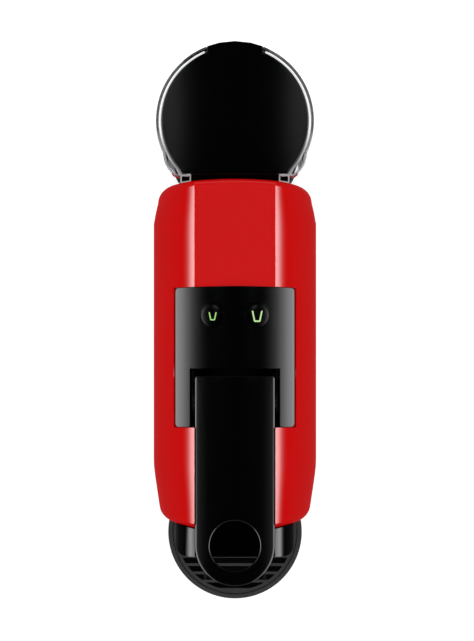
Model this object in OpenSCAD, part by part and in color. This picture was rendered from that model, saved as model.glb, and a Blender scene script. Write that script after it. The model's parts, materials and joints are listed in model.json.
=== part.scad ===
// Slim capsule coffee machine, built as an assembly. Millimetres, +Z up, tray towards -Y, water tank towards +Y.
// The origin is on the table, under the centre of the machine's own box.

/* [Body] */
// Widest width of the casing
body_w = 95; // [92:0.5:97]
// Height of the flat spine along the top
spine_z = 203; // [202.5:0.1:203.5]
// Half width of the flat spine, where the shoulders begin
spine_half = 23; // [22.8:0.1:23.2]
// Wall of the casing
casing_wall = 2.5; // [2:0.1:2.8]
// Back end of the casing
casing_back = 85.5; // [85:0.1:86]
// Front end of the casing
casing_front = -117.5; // [-118:0.1:-117.2]

/* [Tank] */
// Outer radius of the water tank
tank_r = 46; // [45:0.5:46.5]
// Wall of the water tank
tank_wall = 2.2; // [1.8:0.1:2.6]
// Rim height of the water tank
tank_rim_z = 183; // [182:0.5:183.5]

/* [Tray] */
// Outer radius of the round drip tray
tray_r = 40.5; // [40:0.1:41]
// Height of the tray's rim
tray_rim_z = 50; // [48:0.5:52]
// Spacing of the grid's slats
slat_pitch = 5; // [4.5:0.1:6]

/* [Lever] */
// Width of the lever
lever_w = 45; // [44:0.2:45.4]
// Radius of the finger hole at the lever's end
finger_hole_r = 15; // [13:0.5:16]
// Thickness of the lever
lever_t = 10.5; // [9:0.5:11]
// Radius of the lever's shaft
shaft_r = 3; // [2.5:0.1:3.2]

/* [Buttons] */
// Radius of each button
button_r = 7.1; // [6.5:0.1:7.5]

/* [Hidden] */

arc_steps = 8;

// The spine, its shoulders and the sides
shoulder_x = 14;
shoulder_z = 150;
shoulder_a = body_w / 2 - shoulder_x;
shoulder_b = 54.5;
casing_foot = 24;
waist_y = -82;
waist_z = 100;
chin_z = 120;

// The panel is a piece of a cylinder along Y
panel_top_z = 204;
panel_r = 65;
panel_t = 3;
panel_half = 34.7;
panel_back = 23;
panel_front = -58;
notch_half = 25.8;
notch_y = -24.1;
button_x = 12.8;
button_y = 6.5;

// The lever's shaft and the crank that drives the front plate
pivot_y = -44;
pivot_z = 188;
hub_r = 15;
lever_end_y = -126.1;
crank_r = 23.7;
crank_deg = 42.5;
crank_pin_r = 2.5;

// The brewing axis runs along Y
brew_z = 152;
plate_y = -61;
cage_r = 18.5;

deck_z = 118;
bay_half = 36;
bay_back = -8;
tank_y = 119;
tank_floor_z = 20;
spigot_z = 9;
valve_y = 106;
tray_y = -124.5;
tray_floor_z = 7.8;
lid_top_z = 186;
lid_pin_y = 91.2;
lid_pin_z = 181.4;
gland_y = 150;

function unit(v) = v / norm(v);
function turn(d) = d > 180 ? d - 360 : d < -180 ? d + 360 : d;

// Points of an arc about c
function arc(c, r, a0, a1, n) = [for (i = [0:n]) c + r * [cos(a0 + (a1 - a0) * i / n), sin(a0 + (a1 - a0) * i / n)]];

// Points that round corner p, which lies between a and b, to radius r
function fillet(a, p, b, r) =
    let (u = unit(a - p), v = unit(b - p), h = acos(u * v) / 2,
         c = p + unit(u + v) * r / sin(h), s = p + u * r / tan(h) - c, e = p + v * r / tan(h) - c,
         a0 = atan2(s[1], s[0]), d = turn(atan2(e[1], e[0]) - a0))
    arc(c, r, a0, a0 + d, arc_steps);

// Outline through corners, each [x, y, radius]
function rounded(q) =
    let (n = len(q), xy = [for (k = q) [k[0], k[1]]])
    [for (i = [0:n - 1]) each (q[i][2] > 0 ? fillet(xy[(i + n - 1) % n], xy[i], xy[(i + 1) % n], q[i][2]) : [xy[i]])];

function mirrored(half) = concat(half, [for (i = [len(half) - 1:-1:0]) [-half[i][0], half[i][1]]]);

module along_x(w) rotate([90, 0, 90]) linear_extrude(w, center = true) children();
module along_y(y0, y1) translate([0, y1, 0]) rotate([90, 0, 0]) linear_extrude(y1 - y0) children();
module up(z0, z1) translate([0, 0, z0]) linear_extrude(z1 - z0) children();
module box(x0, x1, y0, y1, z0, z1) translate([x0, y0, z0]) cube([x1 - x0, y1 - y0, z1 - z0]);
module both_sides() {
    children();
    mirror([1, 0, 0]) children();
}

// Section of the body across its length: flat spine, steep shoulders, straight sides. t insets it.
function section_half(t) =
    let (a = shoulder_a - t, b = shoulder_b - t, s0 = asin((spine_half - shoulder_x) / a), n = 18)
    concat([[body_w / 2 - t, casing_foot - 1]],
        [for (i = [n:-1:0]) let (s = s0 + (90 - s0) * i / n)
            [shoulder_x + a * sin(s), shoulder_z + b * cos(s)]],
        [[spine_half - 0.4, min(spine_z - t, shoulder_z + b * cos(s0) + 0.5)]]);
module section(t) polygon(mirrored(section_half(t)));

// Side view of the body: flat top, upright ends, and the waist cut back under the head
module side_view(t) polygon(rounded([
    [casing_back - 3 - t, casing_foot - 2, 0], [casing_back - t, spine_z + 1 - t, 4],
    [casing_front + t, spine_z + 1 - t, 4], [casing_front + 2 + t, chin_z + t, 10],
    [waist_y + t, waist_z + t / 2, 24], [waist_y + t, casing_foot - 2, 0]]));

// Plan of the body: arched ends, and flanks that taper towards both ends
function plan_half(t) =
    let (w = body_w / 2 - t, b = casing_back - t, f = casing_front + t)
    concat([for (x = [0, 12, 24]) [x, b - x * x / 500]],
        fillet([24, b - 1.2], [42.5 - t, b - 3.2], [w, 63], 9),
        fillet([42.5 - t, b - 3.2], [w, 63], [w, -84], 18),
        fillet([w, 63], [w, -84], [43 - t, f + 6], 30),
        fillet([w, -84], [43 - t, f + 6], [24, f + 1.5], 10),
        [for (x = [24, 12, 0]) [x, f + x * x / 380]]);
module plan(t) polygon(mirrored(plan_half(t)));

module body_form(t) intersection() {
    along_x(body_w + 2) side_view(t);
    along_y(-130, 100) section(t);
    up(casing_foot - t, spine_z + 2) plan(t);
}

module panel_outline(c) polygon(rounded([
    [-panel_half - c, panel_back + c, 2], [panel_half + c, panel_back + c, 2],
    [panel_half + c, panel_front - c, 1.5], [notch_half - c, panel_front - c, 0.8],
    [notch_half - c, notch_y - c, 2], [-notch_half + c, notch_y - c, 2],
    [-notch_half + c, panel_front - c, 0.8], [-panel_half - c, panel_front - c, 1.5]]));

module casing() color("firebrick") {
    difference() {
        union() {
            difference() {
                body_form(0);
                body_form(casing_wall);
                // open underside, over the base
                box(-45, 45, -79, 82, casing_foot - 1, casing_foot + 12);
            }
            // inner walls of the lever's channel
            intersection() {
                body_form(0.4);
                both_sides() box(spine_half, spine_half + 2.2, casing_front + 1, panel_front + 1, 186.6, spine_z);
            }
        }
        // the lever's channel, from the panel to the front end
        box(-spine_half - 0.1, spine_half + 0.1, -112.2, notch_y, 184.5, spine_z + 3);
        box(-spine_half - 0.1, spine_half + 0.1, -125, -112, 188.5, spine_z + 3);
        // the seat of the panel
        up(188, spine_z + 5) panel_seat();
        // the head's mouth in the front end
        box(-31, 31, -125, -108, chin_z + 8, 184.6);
        box(-13.5, 13.5, -125, -104, 122.9, 140);
        // the container's bay in the waist
        box(-bay_half - 1, bay_half + 1, waist_y - 3, waist_y + 8, casing_foot - 2, 85.6);
    }
}

module panel_seat() polygon(rounded([
    [-panel_half - 0.2, panel_back + 0.2, 2], [panel_half + 0.2, panel_back + 0.2, 2],
    [panel_half + 0.2, panel_front - 0.2, 1.5], [-panel_half - 0.2, panel_front - 0.2, 1.5]]));

module control_panel() color([0.03, 0.03, 0.035]) difference() {
    intersection() {
        along_y(panel_front - 2, panel_back + 2) difference() {
            translate([0, panel_top_z - panel_r]) circle(panel_r, $fn = 96);
            translate([0, panel_top_z - panel_r]) circle(panel_r - panel_t, $fn = 96);
        }
        up(186, 206) panel_outline(0);
    }
    for (s = [-1, 1]) translate([s * button_x, button_y, 190]) cylinder(20, r = button_r + 0.25, $fn = 48);
}

// A button: its cap follows the panel's curve, and its stem reaches down to the switch
module button(s) color([0.05, 0.05, 0.055]) difference() {
    union() {
        intersection() {
            translate([s * button_x, button_y, 196]) cylinder(12, r = button_r, $fn = 48);
            along_y(button_y - 10, button_y + 10) translate([0, panel_top_z - 0.5 - panel_r])
                circle(panel_r, $fn = 96);
        }
        translate([s * button_x, button_y, 189.5]) cylinder(7, r = 4, $fn = 32);
    }
    translate([s * button_x, button_y, 200.9]) cylinder(5, r = 4.6, $fn = 32);
}

module light_window(s) color([0.55, 0.9, 0.4]) intersection() {
    translate([s * button_x, button_y, 200.9]) cylinder(5, r = 4.55, $fn = 32);
    along_y(button_y - 10, button_y + 10) translate([0, panel_top_z - 0.5 - panel_r]) circle(panel_r, $fn = 96);
}

module espresso_button() button(-1);
module espresso_light() light_window(-1);
module lungo_button() button(1);
module lungo_light() light_window(1);

// Black moulding under the spine: it carries the panel and makes the floor of the lever's channel
module top_frame() color([0.08, 0.08, 0.09]) difference() {
    union() {
        box(-33, 33, panel_front - 8, panel_back + 6, 182, 184.4);
        box(-25.2, 25.2, -112.4, panel_front, 182, 184.4);
        both_sides() {
            // edges of the capsule slot
            box(22.8, 25.2, -112.4, panel_front - 1, 184.4, 186.4);
            // walls that the panel stands on
            box(31, 33, panel_front + 0.5, panel_back - 1, 184.4, 190.9);
            box(27.5, 29, panel_front + 0.5, notch_y + 4, 184.4, 193.4);
            translate([21, 13, 180.2]) cylinder(3, r = 3, $fn = 24);
        }
        box(-27, 27, notch_y + 2, notch_y + 4, 184.4, 194.5);
        // guide wells of the buttons
        for (s = [-1, 1]) translate([s * button_x, button_y, 184.4]) cylinder(6, r = 6.2, $fn = 32);
    }
    // capsule slot, and room for the lever's hub
    box(-19.6, 19.6, -93.5, -61, 181, 186);
    box(-27.2, 27.2, -62, notch_y - 3, 181, 186);
    for (s = [-1, 1]) translate([s * button_x, button_y, 180]) cylinder(12, r = 4.25, $fn = 32);
}

module button_board() color([0.1, 0.35, 0.15]) difference() {
    box(-23.3, 23.3, -6, 18, 178.6, 180.2);
    for (x = [-21, 21]) translate([x, 13, 178]) cylinder(4, r = 1.2, $fn = 20);
}

// Dome switches under the two buttons
module button_switches() color([0.15, 0.15, 0.16]) for (s = [-1, 1]) translate([s * button_x, button_y, 180.2]) {
    cylinder(5.4, r1 = 3.9, r2 = 2.6, $fn = 32);
    cylinder(8, r = 1.7, $fn = 24);
}

// The lever: one bar from the hub at its back to the ring at its end
lever_side = concat(
    arc([pivot_y, pivot_z], hub_r, 90, 0, 14),
    arc([pivot_y, pivot_z], 8, -20, -110, 8),
    [[pivot_y - 12, pivot_z + 4.5], [lever_end_y - 30, spine_z - lever_t], [lever_end_y - 30, spine_z]]);
module lever() color([0.03, 0.03, 0.035]) difference() {
    union() {
        intersection() {
            along_x(lever_w) polygon(lever_side);
            up(160, 210) polygon(concat(
                arc([0, lever_end_y], lever_w / 2, 180, 360, 28),
                fillet([lever_w / 2, lever_end_y], [lever_w / 2, pivot_y + 15.2], [0, pivot_y + 15.2], 2),
                fillet([0, pivot_y + 15.2], [-lever_w / 2, pivot_y + 15.2], [-lever_w / 2, lever_end_y], 2)));
        }
        // cheeks that carry the crank pins
        both_sides() translate([18.2, 0, 0]) along_x(2.6) polygon(concat(
            arc([pivot_y, pivot_z], 7, 90 - crank_deg, 270 - crank_deg, 10),
            arc(crank_pin(), 4, 270 - crank_deg, 450 - crank_deg, 10)));
    }
    translate([0, lever_end_y, 180]) cylinder(30, r = finger_hole_r, $fn = 72);
    translate([0, pivot_y, pivot_z]) rotate([0, 90, 0]) cylinder(60, r = shaft_r + 0.06, center = true, $fn = 40);
    both_sides() translate([18, crank_pin()[0], crank_pin()[1]]) rotate([0, 90, 0])
        cylinder(6, r = crank_pin_r, center = true, $fn = 32);
    // the hub is hollow between the cheeks
    along_x(28) polygon(concat(arc([pivot_y, pivot_z], 12.4, 90, 0, 10), [[pivot_y + 12.4, 170], [pivot_y - 8.2, 170],
        [pivot_y - 8.2, pivot_z + 12.4]]));
}
function crank_pin() = [pivot_y + crank_r * sin(crank_deg), pivot_z - crank_r * cos(crank_deg)];

module crank_pins() color("silver") both_sides() translate([19.85, crank_pin()[0], crank_pin()[1]])
    rotate([0, 90, 0]) cylinder(5.9, r = crank_pin_r, center = true, $fn = 32);

module lever_shaft() color("silver") translate([0, pivot_y, pivot_z]) rotate([0, 90, 0]) {
    cylinder(53, r = shaft_r, center = true, $fn = 40);
    for (s = [-1, 1]) translate([0, 0, s * 26.75]) cylinder(0.8, r = shaft_r + 0.9, center = true, $fn = 40);
}

// Two side plates joined by cross bars: they carry the shaft, guide the front plate and hold the cage
module brew_frame() color([0.12, 0.12, 0.13]) difference() {
    union() {
        both_sides() translate([25, 0, 0]) along_x(2.6) polygon(rounded([
            [-1, deck_z + 3, 0], [1, 182, 3], [-34, 182, 4], [-38.5, 194, 6], [-49.5, 194, 6], [-54, 182, 4],
            [-105, 182, 3], [-106, 141, 8], [-78, deck_z + 3, 0]]));
        // back bar that holds the cage
        box(-24, 24, -24, -18, 133, 171);
        // front bar
        box(-24, 24, -105, -101, 150, 172);
        // guide rails of the carriage
        both_sides() box(21, 24, -100, -26, 146.3, 148.7);
    }
    translate([0, pivot_y, pivot_z]) rotate([0, 90, 0]) cylinder(70, r = shaft_r + 0.03, center = true, $fn = 40);
    translate([0, -10, brew_z]) rotate([90, 0, 0]) cylinder(30, r = 6, center = true, $fn = 32);
    both_sides() {
        for (y = [-70, -12]) translate([25, y, 115]) cylinder(12, r = 0.9, $fn = 16);
        // room for the carriage's arms in the back bar
        box(19.6, 23.3, -25, -21.6, 148.6, 172);
    }
}

// The fixed cup that takes the capsule, open to the front
module capsule_cage() color([0.16, 0.15, 0.14]) translate([0, -24, brew_z]) rotate([90, 0, 0]) difference() {
    rotate_extrude($fn = 64) polygon([[0, 0], [14, 0], [15, 3], [cage_r, 8], [cage_r, 33], [16, 33], [12.2, 6], [0, 6]]);
    translate([0, 0, -1]) cylinder(9, r = 2.2, $fn = 32);
    for (a = [0:120:240]) rotate(a + 90) translate([7, 0, 2]) cylinder(8, r = 1.5, $fn = 20);
}

// Three piercing needles pressed into the back of the cage
module piercing_needles() color("silver") translate([0, -24, brew_z]) rotate([90, 0, 0])
    for (a = [0:120:240]) rotate(a + 90) translate([7, 0, 2]) {
        cylinder(7, r = 1.5, $fn = 20);
        translate([0, 0, 7]) cylinder(4, r1 = 1.5, r2 = 0.2, $fn = 20);
    }

// The front plate's carriage: a holder with a drain trough, and two forked arms that take the crank pins
module plate_carriage() color([0.14, 0.14, 0.15]) difference() {
    union() {
        translate([0, plate_y, brew_z]) rotate([90, 0, 0]) cylinder(5, r = 19.5, $fn = 64);
        both_sides() box(19, 22.9, plate_y - 5, plate_y, 149, 172.6);
        both_sides() box(20, 22.9, plate_y - 5, crank_pin()[0] + 6, 149, 172.6);
        box(-6.5, 6.5, plate_y - 34.2, plate_y - 1, 127.4, 135);
    }
    translate([0, plate_y + 1, brew_z]) rotate([90, 0, 0]) cylinder(3.5, r = 15.6, $fn = 64);
    box(-4.5, 4.5, plate_y - 36, plate_y - 2.6, 129, 136);
    for (x = [-3, 0, 3]) translate([x, plate_y - 1.4, 130]) cylinder(10, r = 1, $fn = 20);
    both_sides() box(19.9, 23.2, crank_pin()[0] - 3.2, crank_pin()[0] + 3.2, 160.8, 174);
}

// Steel plate with a field of small pyramids that tear the capsule's foil
pyramid_pitch = 3.6;
module piercing_plate() color("silver") {
    translate([0, plate_y - 1.3, brew_z]) rotate([90, 0, 0]) cylinder(1.2, r = 15.4, $fn = 64);
    for (i = [-3:3], k = [-3:3])
        if (norm([i, k]) * pyramid_pitch < 12.8)
            translate([i * pyramid_pitch, plate_y - 1.3, brew_z + k * pyramid_pitch]) rotate([-90, 45, 0])
                cylinder(1.3, r1 = 2.1, r2 = 0.5, $fn = 4);
}

module plate_seal() color([0.2, 0.2, 0.2]) translate([0, plate_y + 0.6, brew_z]) rotate([90, 0, 0])
    difference() {
        cylinder(0.6, r = 19.2, $fn = 64);
        translate([0, 0, -1]) cylinder(3, r = 16.2, $fn = 64);
    }

// Open channel that leads coffee from the carriage's trough to the spout
module coffee_gutter() color([0.1, 0.1, 0.11]) difference() {
    along_x(26) polygon(concat([[-93.5, 123.2], [-93.5, 129], [-98, 130], [-130.4, 134]],
        arc([-122.8, 130.8], 7.6, 180, 270, 8)));
    along_x(22) polygon(concat([[-92, 126.4], [-92, 140], [-128.8, 140]], arc([-122.8, 130.8], 6, 180, 270, 6),
        [[-110, 124.9]]));
    translate([0, tray_y, 110]) cylinder(40, r = 5.05, $fn = 40);
}

module coffee_spout() color([0.05, 0.05, 0.055]) translate([0, tray_y, 0]) difference() {
    union() {
        translate([0, 0, 111]) cylinder(9.4, r1 = 6.2, r2 = 8, $fn = 48);
        translate([0, 0, 120.4]) cylinder(4.2, r = 5, $fn = 40);
    }
    translate([0, 0, 105]) cylinder(30, r = 3.4, $fn = 40);
}

// Black head in front of the casing: its shoulders carry on from the spine
function head_half(t) = concat([[34 - t, 115], [34 - t, 184]], arc([15.5, 184.1], 18.5 - t, 0, 66, 10));
module head_form(t) intersection() {
    along_y(-140, -104) polygon(mirrored(head_half(t)));
    up(115, 210) polygon(mirrored(concat([[36, -104]], fillet([34 - t, -104], [34 - t, -132 + t], [0, -133.2 + t], 6),
        [[12, -133.1 + t]])));
    along_x(80) polygon(rounded([[-104, 120.4 + t, 0], [-133.2 + t, 120.4 + t, 8], [-133.2 + t, 202, 3],
        [-104, 202, 0]]));
}
module head_cover() color([0.03, 0.03, 0.035]) difference() {
    union() {
        difference() {
            head_form(0);
            head_form(2.4);
        }
        // floor and walls of the lever's channel
        box(-spine_half - 2, spine_half + 2, -131, -108, 186.2, 188.6);
        both_sides() box(spine_half + 0.1, spine_half + 2, -131.5, -108, 188, 199.6);
    }
    box(-spine_half - 0.1, spine_half + 0.1, -140, -100, 188.6, 210);
    translate([0, tray_y, 110]) cylinder(30, r = 5.05, $fn = 40);
    // the back edge follows the casing's front end
    body_form(-0.3);
}

// Slide that leads a spent capsule back into the container
module capsule_chute() color([0.1, 0.1, 0.11]) difference() {
    along_x(44.4) polygon([[-57.6, 122.8], [-57.6, 100], [-44, 86], [-77.6, 86], [-77.6, 99], [-94.4, 122.8]]);
    along_x(40.4) polygon([[-59.6, 124], [-59.6, 100.8], [-43, 83.6], [-75.6, 83.6], [-75.6, 99.6], [-92.8, 124]]);
}

// Chassis over the container's bay: two walls, a back wall and the deck that carries the works
module inner_frame() color([0.15, 0.15, 0.16]) difference() {
    union() {
        both_sides() box(38.4, 41, -78.5, -4, 7.4, deck_z);
        box(-41, 41, bay_back + 1.6, -4, 7.4, deck_z);
        box(-41, 41, -78.5, 72, deck_z, deck_z + 3);
        both_sides() box(38.4, 41, 55, 66, 7.4, deck_z);
    }
    box(-24, 24, -85, -57.5, deck_z - 1, deck_z + 4);
    box(-14, 14, 20, 50, deck_z - 1, deck_z + 4);
    both_sides() for (y = [-70, -12]) translate([25, y, 110]) cylinder(12, r = 0.9, $fn = 16);
    for (p = screw_places()) translate([p[0], p[1], 7]) cylinder(5, r = 1.2, $fn = 20);
}

module frame_screws() color("silver") both_sides() for (y = [-70, -12]) translate([25, y, 0]) {
    translate([0, 0, 113]) cylinder(12, r = 0.9, $fn = 16);
    translate([0, 0, 116.2]) cylinder(1.8, r = 2.6, $fn = 24);
}

module thermoblock() color([0.72, 0.72, 0.74]) difference() {
    union() {
        box(-24, 24, 6, 66, deck_z + 6, 160);
        for (k = [0:5]) box(-27, 27, 11 + k * 9, 14 + k * 9, deck_z + 9, 157);
        both_sides() for (y = [12, 60]) translate([18, y, deck_z + 3]) cylinder(3, r = 4, $fn = 32);
    }
    for (x = [-12, 12]) translate([x, 5, 142]) rotate([-90, 0, 0]) cylinder(40, r = 2.6, $fn = 32);
}

module thermoblock_fittings() color([0.75, 0.65, 0.35]) for (x = [-12, 12]) translate([x, 13, 142])
    rotate([90, 0, 0]) difference() {
        union() {
            cylinder(14, r = 2.6, $fn = 32);
            translate([0, 0, 7]) cylinder(3, r = 5, $fn = 6);
        }
        translate([0, 0, -1]) cylinder(20, r = 1.4, $fn = 24);
    }

module thermostat() color([0.85, 0.83, 0.78]) translate([0, 36, 160]) {
    cylinder(3, r = 9, $fn = 40);
    translate([0, 0, 3]) cylinder(4, r = 6.5, $fn = 40);
    for (x = [-3, 3]) box(x - 0.4, x + 0.4, -2, 2, 7, 13);
}

// A hose along points, with round elbows at them
module hose(p, r) for (i = [0:len(p) - 2]) let (d = p[i + 1] - p[i], l = norm(d)) translate(p[i]) {
    rotate([0, acos(d[2] / l), atan2(d[1], d[0])]) cylinder(l, r = r, $fn = 20);
    if (i > 0) sphere(r, $fn = 20);
}

module brew_hose() color([0.85, 0.85, 0.82]) hose([[-12, -1, 142], [-12, -7, 142], [0, -11, brew_z], [0, -24, brew_z]], 2.1);

module pump_bracket() color([0.55, 0.56, 0.58]) difference() {
    box(-21, 21, 16, 62, 31, 73);
    box(-19, 19, 14, 64, 33, 71);
    for (y = [12, 60]) translate([0, y, 52]) rotate([90, 0, 0]) cylinder(8, r = 9, center = true, $fn = 32);
}
module pump_coil() color([0.18, 0.12, 0.1]) translate([0, 59.7, 52]) rotate([90, 0, 0]) difference() {
    cylinder(41.4, r = 19, $fn = 56);
    translate([0, 0, -1]) cylinder(50, r = 8.4, $fn = 40);
}
module pump_tube() color([0.85, 0.83, 0.78]) translate([0, 72, 52]) rotate([90, 0, 0]) difference() {
    union() {
        cylinder(68, r = 8.4, $fn = 40);
        translate([0, 0, -2]) cylinder(73, r = 3, $fn = 24);
    }
    translate([0, 0, -10]) cylinder(110, r = 1.5, $fn = 24);
}
// Rubber stands that hold both ends of the pump
module pump_dampers() color([0.1, 0.1, 0.1]) for (y = [6, 65]) translate([0, y, 0]) difference() {
    box(-12, 12, 0, 5, 7.4, 63);
    translate([0, 2, 52]) rotate([90, 0, 0]) cylinder(20, r = 8.4, center = true, $fn = 40);
    translate([0, 2, spigot_z + 3.2]) rotate([90, 0, 0]) cylinder(20, r = 3.4, center = true, $fn = 24);
    box(-3.4, 3.4, -1, 6, 7, spigot_z + 3.2);
}

module pressure_hose() color([0.85, 0.85, 0.82])
    hose([[0, 74, 52], [0, 76.8, 52], [12, 76.8, 66], [12, 76.8, 142], [12, 74, 142]], 2.1);

// From the spigot to the meter, and from the meter to the pump
module suction_hose() color([0.85, 0.85, 0.82]) {
    hose([[0, 90.4, spigot_z + 3.2], [0, 69, spigot_z + 3.2]], 2);
    hose([[0, 31, spigot_z + 3.2], [0, -0.8, spigot_z + 3.2], [0, -0.8, 52], [0, 1, 52]], 2);
}

module flow_meter() color([0.8, 0.8, 0.76]) translate([0, 50, 7.4]) difference() {
    union() {
        cylinder(13, r = 12, $fn = 48);
        for (s = [-1, 1]) translate([0, 0, spigot_z - 4.2]) rotate([-90 * s, 0, 0]) cylinder(19, r = 2.6, $fn = 24);
    }
    translate([0, 0, 2]) cylinder(9, r = 10.2, $fn = 48);
}
module flow_impeller() color([0.2, 0.3, 0.7]) translate([0, 50, 0]) {
    translate([0, 0, 9.8]) cylinder(8.2, r = 2, $fn = 24);
    for (a = [0:60:300]) rotate(a) box(1, 9.4, -0.6, 0.6, 10.4, 17.4);
}

module control_board() color([0.1, 0.35, 0.15]) box(-42.6, -41, -60, 50, 40, 104);
module board_parts() color([0.2, 0.2, 0.22]) {
    box(-44.4, -42.6, -50, -20, 50, 90);
    box(-41, -27, 12, 36, 60, 84);
    for (y = [2, 44]) translate([-41, y, 72]) rotate([0, 90, 0]) cylinder(12, r = 5, $fn = 32);
}

module tank_spigot() color([0.12, 0.12, 0.13]) translate([0, valve_y, spigot_z]) difference() {
    union() {
        cylinder(8.2, r = 3.6, $fn = 32);
        cylinder(1.4, r = 8, $fn = 40);
        translate([0, 0, 3.2]) rotate([90, 0, 0]) cylinder(15.6, r = 2, $fn = 24);
    }
    translate([0, 0, 2]) cylinder(12, r = 1.6, $fn = 24);
    translate([0, 0, 3.2]) rotate([90, 0, 0]) cylinder(20, r = 1.1, $fn = 24);
}
module spigot_seal() color([0.6, 0.2, 0.15]) translate([0, valve_y, spigot_z + 5.6]) difference() {
    cylinder(1.4, r = 5, $fn = 40);
    translate([0, 0, -1]) cylinder(4, r = 3.6, $fn = 32);
}

// Base: the foot under the tray, the pan under the casing and the platform of the tank
module base() color([0.06, 0.06, 0.065]) difference() {
    union() {
        // plate: the tongue under the tray, the pan under the casing
        translate([0, tray_y, 3]) cylinder(4.4, r = 34, $fn = 96);
        up(3, 7.4) polygon([[-33, -112], [-42, -81], [-42, 80], [-33, 86], [33, 86], [42, 80], [42, -81], [33, -112]]);
        up(3, 7.4) polygon(platform(0));
        // rim that the casing stands on
        difference() {
            up(3, casing_foot + 4) polygon(rounded([[-44.4, 79.8, 6], [44.4, 79.8, 6], [44.4, -78.6, 2],
                [-44.4, -78.6, 2]]));
            up(7.4, 40) polygon(rounded([[-42, 77.4, 4], [42, 77.4, 4], [42, -82, 2], [-42, -82, 2]]));
            box(-42, 42, -90, -70, 7.4, 40);
        }
        difference() {
            up(3, casing_foot - 0.2) plan(0.6);
            box(-60, 60, -140, -79.2, 0, 40);
            box(-60, 60, 82.4, 100, 0, 40);
            up(7.4, 40) polygon(rounded([[-44, 79.4, 6], [44, 79.4, 6], [44, -79.4, 2], [-44, -79.4, 2]]));
        }
        // platform of the tank
        difference() {
            union() {
                translate([0, tank_y, 3]) cylinder(tank_floor_z - 3.4, r = 43, $fn = 128);
                up(3, tank_floor_z - 0.4) polygon(platform(0));
            }
            translate([0, tank_y, 7.4]) cylinder(tank_floor_z, r = 40.6, $fn = 128);
            up(7.4, tank_floor_z) polygon(platform(2.4));
        }
        box(-9, 9, gland_y, gland_y + 11, 3, 16);
        for (a = [30, 150]) translate([0, tank_y, 0]) rotate(a) box(12, 42, -1.2, 1.2, 7.4, tank_floor_z - 0.4);
        translate([0, valve_y, 7.4]) cylinder(tank_floor_z - 7.8, r = 14, $fn = 48);
    }
    translate([0, valve_y, spigot_z]) cylinder(20, r = 11.6, $fn = 48);
    // way of the suction hose
    translate([0, valve_y - 8, spigot_z + 3.2]) rotate([90, 0, 0]) cylinder(24, r = 2.5, $fn = 24);
    // socket of the cord's gland
    translate([0, gland_y - 1, 9.6]) rotate([-90, 0, 0]) cylinder(20, r = 4.6, $fn = 40);
    for (p = foot_places()) translate([p[0], p[1], 2]) cylinder(2.2, r = 7.1, $fn = 32);
    for (p = screw_places()) translate([p[0], p[1], 0]) cylinder(12, r = 1.2, $fn = 20);
}
function platform(t) = [[-42.6 + t, tank_y - 5.8], [-33 + t, 84.4 + t], [33 - t, 84.4 + t],
    [42.6 - t, tank_y - 5.8], [30, tank_y], [-30, tank_y]];
function foot_places() = [for (x = [-24, 24], y = [-128, 132]) [x, y]];
function screw_places() = [for (x = [-39.6, 39.6], y = [-60, 60]) [x, y]];

module rubber_feet() color([0.15, 0.15, 0.15]) for (p = foot_places()) translate([p[0], p[1], 0]) {
    cylinder(4.2, r = 7, $fn = 32);
}
module base_screws() color("silver") for (p = screw_places()) translate([p[0], p[1], 1.4]) {
    cylinder(1.6, r = 2.6, $fn = 24);
    cylinder(10, r = 1.2, $fn = 20);
}

module cord_gland() color([0.1, 0.1, 0.1]) translate([0, gland_y, 9.6]) rotate([-90, 0, 0]) difference() {
    union() {
        cylinder(12.4, r = 4.55, $fn = 40);
        translate([0, 0, 12.1]) cylinder(1.1, r = 5, $fn = 40);
    }
    translate([0, 0, -1]) cylinder(30, r = 3.6, $fn = 40);
}

// The tank: round at the back, with flat walls that close in on the casing
module tank_form(t, z0, z1) {
    intersection() {
        translate([0, tank_y, z0]) cylinder(z1 - z0, r = tank_r - t, $fn = 128);
        box(-50, 50, tank_y - 7.2, tank_y + 50, z0, z1);
    }
    up(z0, z1) polygon(mirrored(concat(
        [[0, tank_y], [40 - t, tank_y], [sqrt(pow(tank_r - t, 2) - 7.2 * 7.2), tank_y - 7.2]],
        fillet([45.4 - t, 111.8], [33.6 - t, 86.4 + t], [0, 86.4 + t], 3))));
}
module water_tank() color([0.6, 0.64, 0.68, 0.4]) difference() {
    union() {
        difference() {
            tank_form(0, tank_floor_z, tank_rim_z);
            tank_form(tank_wall, tank_floor_z + 2.6, tank_rim_z + 1);
            // the rim is lower at the front, under the lid's neck
            box(-35, 35, 80, 91, tank_rim_z - 2.6, tank_rim_z + 1);
            box(-31.6, 31.6, 80, 92.4, 176.4, tank_rim_z + 1);
        }
        // ledge that the lid rests on
        difference() {
            tank_form(1, 173.6, 175.4);
            tank_form(4.2, 173, 176);
            box(-50, 50, 80, 96, 173, 176);
        }
        // ears of the hinge
        both_sides() translate([23.2, 0, 0]) along_x(2.4) polygon(concat(
            [[93.4, 170], [93.4, lid_pin_z]], arc([lid_pin_y, lid_pin_z], 2.2, 0, 180, 8),
            [[89, 176.8], [86.8, 176], [86.8, 170]]));
    }
    translate([0, valve_y, 10]) cylinder(20, r = 8, $fn = 40);
    translate([0, lid_pin_y, lid_pin_z]) rotate([0, 90, 0]) cylinder(80, r = 1.2, center = true, $fn = 24);
    // gap in the rim for the lid's tab
    box(-16.6, 16.6, tank_y + 38, tank_y + 50, 175.6, tank_rim_z + 1);
}

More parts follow.
